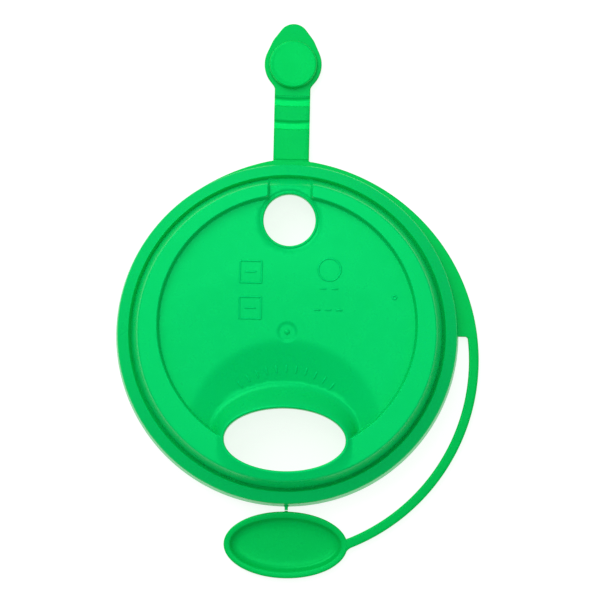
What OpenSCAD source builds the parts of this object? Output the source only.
// Snap-on drinks-cup lid with a tethered oval sip plug and a fold-over straw-hole stopper.
// Origin: lid axis at the bottom edge of the skirt. +Z up, +Y towards the straw hole.

/* [Rim] */
// Outer radius of the skirt at its bottom edge
skirt_r = 47.3; // [47.0:0.1:47.8]
// Outer radius of the skirt at the shoulder
shoulder_r = 46.5; // [46.2:0.1:46.7]
// Height of the shoulder
shoulder_z = 6.8; // [6.4:0.1:7.2]
// Radius of the snap land that grips the cup's lip
snap_r = 44.8; // [44.5:0.1:45.0]
// Height of the snap land
snap_h = 1.6; // [1.0:0.1:2.2]
// Radius of the relief above the snap land
relief_r = 45.5; // [45.2:0.1:45.6]

/* [Raised ring] */
// Outer radius of the ring's flat top
ring_r = 40.6; // [40.4:0.1:40.8]
// Height of the ring's flat top
ring_z = 14.2; // [13.8:0.1:14.6]
// Radius of the recessed deck inside the ring
deck_r = 35.15; // [34.8:0.05:35.5]
// Offset of the recessed deck towards the straw hole
deck_shift = 1.9; // [1.5:0.1:2.3]
// Height of the deck's upper face
deck_z = 12.0; // [11.8:0.1:12.2]
// Wall thickness of the moulding
wall = 1.0; // [0.9:0.1:1.1]

/* [Straw hole] */
// Radius of the straw hole
straw_r = 7.1; // [7.0:0.05:7.2]
// Distance of the straw hole from the lid's axis
straw_y = 30.6; // [30.4:0.1:30.8]
// Half width of the notch that the strap lies in
notch_half = 5.9; // [5.7:0.1:6.1]

/* [Sip hole] */
// Half length of the oval sip hole
sip_a = 16.5; // [16.3:0.1:16.7]
// Half width of the oval sip hole
sip_b = 8.5; // [8.4:0.05:8.6]
// Position of the sip hole's centre along Y
sip_y = -29.3; // [-29.5:0.1:-29.1]
// Height of the sip collar's lip
sip_z = 14.8; // [14.6:0.1:15.0]
// Radius of the shallow dish round the sip collar
dish_r = 26.8; // [26.0:0.1:27.5]
// Depth of the dish at the foot of the collar
dish_depth = 1.8; // [1.4:0.1:2.0]

/* [Straps] */
// Height of the underside of the straps, flange and stopper plate
strap_z = 1.6; // [1.5:0.1:1.8]
// Thickness of the straps, flange and stopper plate
strap_t = 1.0; // [0.9:0.1:1.1]
// Width of the stopper strap
strap_w = 9.9; // [9.5:0.1:10.3]
// Thickness of the living hinges
web_t = 0.35; // [0.3:0.05:0.4]
// Inner radius of the curved tether
tether_in = 52.8; // [52.6:0.1:53.0]
// Outer radius of the curved tether
tether_out = 55.5; // [55.3:0.1:55.7]

/* [Stopper] */
// Radius of the stopper's round boss
boss_r = 6.6; // [6.5:0.05:6.65]
// Height of the boss above the plate
boss_h = 2.0; // [1.8:0.1:2.1]
// Radius of the round part of the stopper plate
plate_r = 7.93; // [7.7:0.05:8.1]

/* [Sip plug] */
// Half length of the plug's flange
flange_a = 16.95; // [16.9:0.05:17.1]
// Half width of the plug's flange
flange_b = 9.1; // [9.0:0.05:9.2]
// Half length of the plug's cup
cup_a = 16.1; // [16.0:0.05:16.2]
// Half width of the plug's cup
cup_b = 8.1; // [8.0:0.05:8.15]
// Wall thickness of the plug's cup
cup_wall = 0.8; // [0.7:0.05:0.9]

/* [Hidden] */
$fn = 96;
eps = 0.01;

// Colours of the one green plastic, varied a little so that neighbouring pieces show.
rim_green = [0.00, 0.80, 0.42];
deck_green = [0.00, 0.84, 0.46];
collar_green = [0.05, 0.90, 0.48];
strap_green = [0.00, 0.76, 0.38];
mark_green = [0.25, 0.90, 0.55];

// Rim section, outwards from the foot of the sealing wall.
groove_r = 42.8;
groove_z = 8.4;
crest_r = 43.5;
crest_z = 8.9;
wall_foot_z = groove_z - wall;
snap_lead = 0.6;
relief_top_z = shoulder_z - 1.3;
crest_under_z = crest_z - 1.1;

// The sealing wall leans inwards from the groove up to the ring.
ring_under_z = ring_z - wall;
deck_under_z = deck_z - wall;
wall_slope = (groove_r - ring_r) / (ring_z - groove_z);
notch_r = 40.3;
notch_foot_z = 9.4;
notch_foot_r = groove_r - (notch_foot_z - groove_z) * wall_slope;
ring_step_foot_z = 9.0;

// Straw hole.
lip_t = 0.8;
lip_foot_z = deck_z - 2.4;
straw_chamfer = 0.6;

// Sip collar: an oval lip, with a slope on the deck side and the ring on the other.
lip_wall = 1.0;
lip_under_z = deck_z - dish_depth - 0.6;
collar_a = 19.5;
collar_b = 13.2;
collar_meet = 1.8;
collar_foot_z = deck_z - dish_depth;
slope_drop = 0.4;
dish_foot_r = 9.0;
oval_sides = 64;
thin = 0.02;

// Straps.
strap_top = strap_z + strap_t;
tether_x = -2.67;
tether_y = -6.9;
root_y = 49.84;
bend_1_y = 58.22;
bend_2_y = 64.67;
web_half = 1.2;
root_half = 0.5;
web_ramp = 0.4;
boss_y = 75.0;
plate_y = 75.2;
boss_round = 0.3;

// Tether: eight links and the plug's tail, joined at nine hinge lines.
tether_start = 7.5;
tether_end = -63;
tether_tip = -69.2;
link_count = 8;
link_step = (tether_start - tether_end) / link_count;
link_gap = 1.2;
flange_end_y = 1.0;

// Plug.
plug_x = 0.77;
plug_y = -57.7;
recess_a = 15.4;
recess_b = 7.5;

// Nib: the break-off bridge between rim and plug.
nib_half = 0.45;
nib_y = -48.3;
nib_gap = 0.15;
nib_z = strap_z + 0.1;
nib_h = strap_t - 0.2;

// Marks on the deck.
mark_h = 0.2;
mark_line = 0.5;

module ring_section(points) {
  rotate_extrude($fn = 180) polygon(points);
}

// The space inside the skirt's outer cone, used to trim what joins it.
module skirt_core() {
  cylinder(h = shoulder_z, r1 = skirt_r, r2 = shoulder_r, $fn = 180);
}

// Skirt, snap land and sloping rim top.
module rim_skirt() {
  color(rim_green) ring_section([
    [snap_r, 0], [skirt_r, 0], [shoulder_r, shoulder_z], [crest_r, crest_z],
    [groove_r, groove_z], [groove_r - wall, wall_foot_z], [crest_r, crest_under_z],
    [relief_r, relief_top_z], [relief_r, snap_h + snap_lead], [snap_r, snap_h]]);
}

// Box over the notch in the ring.
module notch_box() {
  translate([-notch_half, deck_r + deck_shift - 12, 0])
    cube([2 * notch_half, 24, ring_z + 1]);
}

// Leaning wall between the groove and the ring, set back in the notch.
module sealing_wall() {
  color(rim_green) union() {
    difference() {
      ring_section([[groove_r, groove_z], [ring_r, ring_z], [ring_r - wall, ring_z],
                    [groove_r - wall, wall_foot_z]]);
      notch_box();
    }
    intersection() {
      ring_section([[groove_r, groove_z], [notch_foot_r, notch_foot_z], [notch_r, deck_z],
                    [notch_r - wall, deck_z], [groove_r - wall, wall_foot_z]]);
      notch_box();
    }
  }
}

module deck_disc(radius, low, high) {
  translate([0, deck_shift, low]) cylinder(h = high - low, r = radius);
}

// Flat ring top with the step down to the deck.
module ring_solid() {
  difference() {
    union() {
      translate([0, 0, ring_under_z]) cylinder(h = wall, r = ring_r - wall, $fn = 180);
      deck_disc(deck_r + wall, ring_step_foot_z, ring_z);
    }
    deck_disc(deck_r, ring_step_foot_z - 1, ring_z + 1);
    notch_box();
  }
}

// Oval prism round the origin.
module oval(half_x, half_y, height) {
  linear_extrude(height = height)
    polygon([for (i = [0:oval_sides - 1])
      [half_x * cos(360 * i / oval_sides), half_y * sin(360 * i / oval_sides)]]);
}

module sip_oval(half_x, half_y, low, height) {
  translate([0, sip_y, low]) oval(half_x, half_y, height);
}

// Half of space on the deck side of the line where the ring meets the collar.
module deck_side() {
  translate([-30, sip_y + collar_meet, 0]) cube([60, 30, 30]);
}

// Region that belongs to the lip and the collar's slope.
module collar_region() {
  sip_oval(sip_a + lip_wall, sip_b + lip_wall, 0, 30);
  intersection() {
    sip_oval(collar_a, collar_b, 0, 30);
    deck_side();
  }
}

module raised_ring() {
  color(deck_green) difference() {
    ring_solid();
    collar_region();
  }
}

// Deck floor under the notch, out to the set-back wall.
module notch_floor() {
  intersection() {
    translate([0, 0, deck_under_z]) cylinder(h = wall, r = notch_r - wall, $fn = 180);
    notch_box();
  }
}

// Shallow cone that falls towards the collar.
module dish_shell() {
  translate([0, sip_y, 0]) rotate_extrude() polygon([
    [dish_foot_r, deck_z - dish_depth - wall], [dish_r, deck_under_z], [dish_r, deck_z],
    [dish_foot_r, deck_z - dish_depth]]);
}

// Recessed deck with the straw hole, the dish and the gate dimple.
module top_panel() {
  color(deck_green) difference() {
    union() {
      difference() {
        union() {
          deck_disc(deck_r, deck_under_z, deck_z);
          notch_floor();
        }
        translate([0, sip_y, 0]) cylinder(h = 30, r = dish_r);
      }
      intersection() {
        dish_shell();
        deck_disc(deck_r, 0, ring_z);
        deck_side();
      }
    }
    translate([0, straw_y, 0]) cylinder(h = 30, r = straw_r + lip_t);
    translate([0, 0, deck_z - 0.25]) cylinder(h = 1, r = 2.8);
    collar_region();
  }
}

// Oval lip round the sip hole: the rim one drinks from.
module sip_lip() {
  color(collar_green) difference() {
    sip_oval(sip_a + lip_wall, sip_b + lip_wall, lip_under_z, sip_z - lip_under_z);
    sip_oval(sip_a, sip_b, 0, 30);
  }
}

// Slope that rises from the dish to the lip.
module collar_slope() {
  color(collar_green) difference() {
    intersection() {
      hull() {
        sip_oval(collar_a, collar_b, collar_foot_z - wall, wall);
        sip_oval(sip_a + lip_wall, sip_b + lip_wall, sip_z - slope_drop, thin);
      }
      deck_side();
    }
    hull() {
      sip_oval(collar_a - wall, collar_b - wall, collar_foot_z - 2 * wall, wall);
      sip_oval(sip_a, sip_b, sip_z - slope_drop - wall, thin);
    }
    sip_oval(sip_a + lip_wall, sip_b + lip_wall, 0, 30);
  }
}

// Short sleeve round the straw hole, with a chamfered mouth.
module straw_hole_lip() {
  color(collar_green) translate([0, straw_y, 0]) rotate_extrude() polygon([
    [straw_r, lip_foot_z], [straw_r + lip_t, lip_foot_z], [straw_r + lip_t, deck_z],
    [straw_r + straw_chamfer, deck_z], [straw_r, deck_z - straw_chamfer]]);
}

// Injection gate left in the middle of the deck.
module gate_pip() {
  color(mark_green) translate([0, 0, deck_z - 0.25]) cylinder(h = 0.5, r = 0.8);
}

module square_frame(x, y, size) {
  translate([x, y, deck_z]) difference() {
    translate([-size / 2, -size / 2, 0]) cube([size, size, mark_h]);
    translate([-size / 2 + mark_line, -size / 2 + mark_line, -1])
      cube([size - 2 * mark_line, size - 2 * mark_line, 3]);
  }
}

module plain_bar(x, y, length) {
  translate([x - length / 2, y - mark_line / 2, deck_z]) cube([length, mark_line, mark_h]);
}

// Ticks that stand on the dish's cone, in an arc round the sip hole.
module dish_ticks() {
  near = 18.2;
  far = 20.6;
  slope = dish_depth / (dish_r - dish_foot_r);
  near_z = deck_z - slope * (dish_r - near);
  far_z = deck_z - slope * (dish_r - far);
  for (i = [-5:5])
    translate([0, sip_y, 0]) rotate([0, 0, 90 + 8 * i - 0.7]) rotate_extrude(angle = 1.4)
      polygon([[near, near_z], [far, far_z], [far, far_z + mark_h], [near, near_z + mark_h]]);
}

// Plain raised marks: frames, bars, a ring, a dot and a row of ticks.
module moulded_marks() {
  color(mark_green) {
    for (y = [6.4, 16.2]) {
      square_frame(-10.2, y, 6.4);
      plain_bar(-10.2, y, 3.2);
    }
    translate([11.2, 17.2, deck_z]) difference() {
      cylinder(h = mark_h, r = 3.3);
      translate([0, 0, -1]) cylinder(h = 3, r = 3.3 - mark_line);
    }
    for (x = [9.6, 12.8]) plain_bar(x, 12.0, 1.8);
    for (x = [8.0, 11.0, 14.0]) plain_bar(x, 6.2, 2.0);
    translate([29.0, 10.0, deck_z]) cylinder(h = mark_h, r = 0.8);
    dish_ticks();
  }
}

// Thin flange outside the skirt that carries the strap's root and the tether.
module anchor_flange() {
  color(strap_green) difference() {
    translate([0, 0, strap_z]) linear_extrude(height = strap_t) union() {
      intersection() {
        translate([tether_x, tether_y]) circle(r = tether_out, $fn = 180);
        translate([6.7, -8.2]) circle(r = 57.6, $fn = 180);
        union() {
          translate([0, flange_end_y]) square([80, 80]);
          translate([-30, 30]) square([30 + eps, 40]);
        }
      }
      translate([-strap_w / 2, skirt_r - 2]) square([strap_w, root_y - root_half - skirt_r + 2]);
    }
    skirt_core();
  }
  color(strap_green) translate([-strap_w / 2, root_y - root_half - eps, strap_top - web_t])
    cube([strap_w, root_half + eps, web_t]);
}

// Base of the nib, on the skirt opposite the strap.
module rim_nib() {
  color(rim_green) difference() {
    translate([0, 0, nib_z]) linear_extrude(height = nib_h) union() {
      intersection() {
        translate([plug_x, 0]) square([13, 100], center = true);
        translate([plug_x, -31.2]) circle(r = 16.5);
      }
      translate([plug_x - nib_half, nib_y + nib_gap / 2]) square([2 * nib_half, 3]);
    }
    skirt_core();
  }
}

module plug_nib() {
  color(strap_green) difference() {
    translate([plug_x - nib_half, nib_y - 1.5, nib_z])
      cube([2 * nib_half, 1.5 - nib_gap / 2, nib_h]);
    plug_oval(flange_a, flange_b, 0, 5);
  }
}

// Strap section in the YZ plane, swept across the strap's width.
module strap_section(points) {
  translate([-strap_w / 2, 0, 0]) rotate([90, 0, 90]) linear_extrude(height = strap_w)
    polygon(points);
}

// First strap segment: stands up against the rim when the stopper is closed.
module strap_riser() {
  color(strap_green) strap_section([
    [root_y, strap_top - web_t], [root_y + root_half, strap_top - web_t],
    [root_y + root_half, strap_z], [bend_1_y, strap_z], [bend_1_y, strap_z + web_t],
    [bend_1_y - web_half + web_ramp, strap_z + web_t], [bend_1_y - web_half, strap_top],
    [root_y, strap_top]]);
}

// Second strap segment: spans the rim.
module strap_bridge() {
  color(strap_green) strap_section([
    [bend_1_y, strap_z], [bend_2_y, strap_z], [bend_2_y, strap_z + web_t],
    [bend_2_y - web_half + web_ramp, strap_z + web_t], [bend_2_y - web_half, strap_top],
    [bend_1_y + web_half, strap_top], [bend_1_y + web_half - web_ramp, strap_z + web_t],
    [bend_1_y, strap_z + web_t]]);
}

// Teardrop plate with its neck and the last living hinge.
module stopper_plate() {
  neck_far_y = plate_y - 5;
  color(strap_green) union() {
    strap_section([
      [bend_2_y, strap_z], [neck_far_y, strap_z], [neck_far_y, strap_top],
      [bend_2_y + web_half, strap_top], [bend_2_y + web_half - web_ramp, strap_z + web_t],
      [bend_2_y, strap_z + web_t]]);
    translate([0, 0, strap_z]) linear_extrude(height = strap_t) hull() {
      translate([0, plate_y]) circle(r = plate_r, $fn = 72);
      translate([0, plate_y + 3.4]) circle(r = plate_r - 1.4, $fn = 72);
      translate([0, plate_y + 7.1]) circle(r = 4.3, $fn = 72);
    }
  }
}

// Round boss that plugs the straw hole.
module stopper_boss() {
  top = strap_top + boss_h;
  color(collar_green) translate([0, boss_y, 0]) rotate_extrude() polygon([
    [0, strap_top], [boss_r, strap_top], [boss_r, top - boss_round],
    [boss_r - boss_round, top], [0, top]]);
}

// Stretch of the tether between two angles round the tether's own centre.
module tether_arc(from, to) {
  color(strap_green) translate([tether_x, tether_y, strap_z]) rotate([0, 0, to])
    rotate_extrude(angle = from - to, $fn = 180)
      translate([tether_in, 0]) square([tether_out - tether_in, strap_t]);
}

// Link i runs from one hinge line to the next, less half a gap at each end.
module tether_link(i) {
  half_gap = link_gap / 2 / tether_in * 180 / PI;
  from = tether_start - (i - 1) * link_step - half_gap;
  tether_arc(from, from - link_step + 2 * half_gap);
}

module plug_oval(half_x, half_y, low, high) {
  translate([plug_x, plug_y, low]) oval(half_x, half_y, high - low);
}

// End of the tether, fixed to the plug.
module plug_tail() {
  half_gap = link_gap / 2 / tether_in * 180 / PI;
  difference() {
    tether_arc(tether_end - half_gap, tether_tip);
    plug_oval(flange_a, flange_b, 0, 5);
  }
}

// Oval flange that seats on the sip collar.
module plug_flange() {
  color(strap_green) difference() {
    plug_oval(flange_a, flange_b, strap_z, strap_top);
    plug_oval(recess_a, recess_b, 0, 5);
  }
}

// Shallow oval cup that fills the sip hole.
module plug_cup() {
  color(deck_green) difference() {
    plug_oval(cup_a, cup_b, 0, strap_z);
    plug_oval(cup_a - cup_wall, cup_b - cup_wall, cup_wall, 5);
  }
}

rim_skirt();
sealing_wall();
raised_ring();
top_panel();
sip_lip();
collar_slope();
straw_hole_lip();
gate_pip();
moulded_marks();
anchor_flange();
rim_nib();
strap_riser();
strap_bridge();
stopper_plate();
stopper_boss();
tether_link(1);  // tether_link_1
tether_link(2);  // tether_link_2
tether_link(3);  // tether_link_3
tether_link(4);  // tether_link_4
tether_link(5);  // tether_link_5
tether_link(6);  // tether_link_6
tether_link(7);  // tether_link_7
tether_link(8);  // tether_link_8
plug_tail();
plug_flange();
plug_cup();
plug_nib();
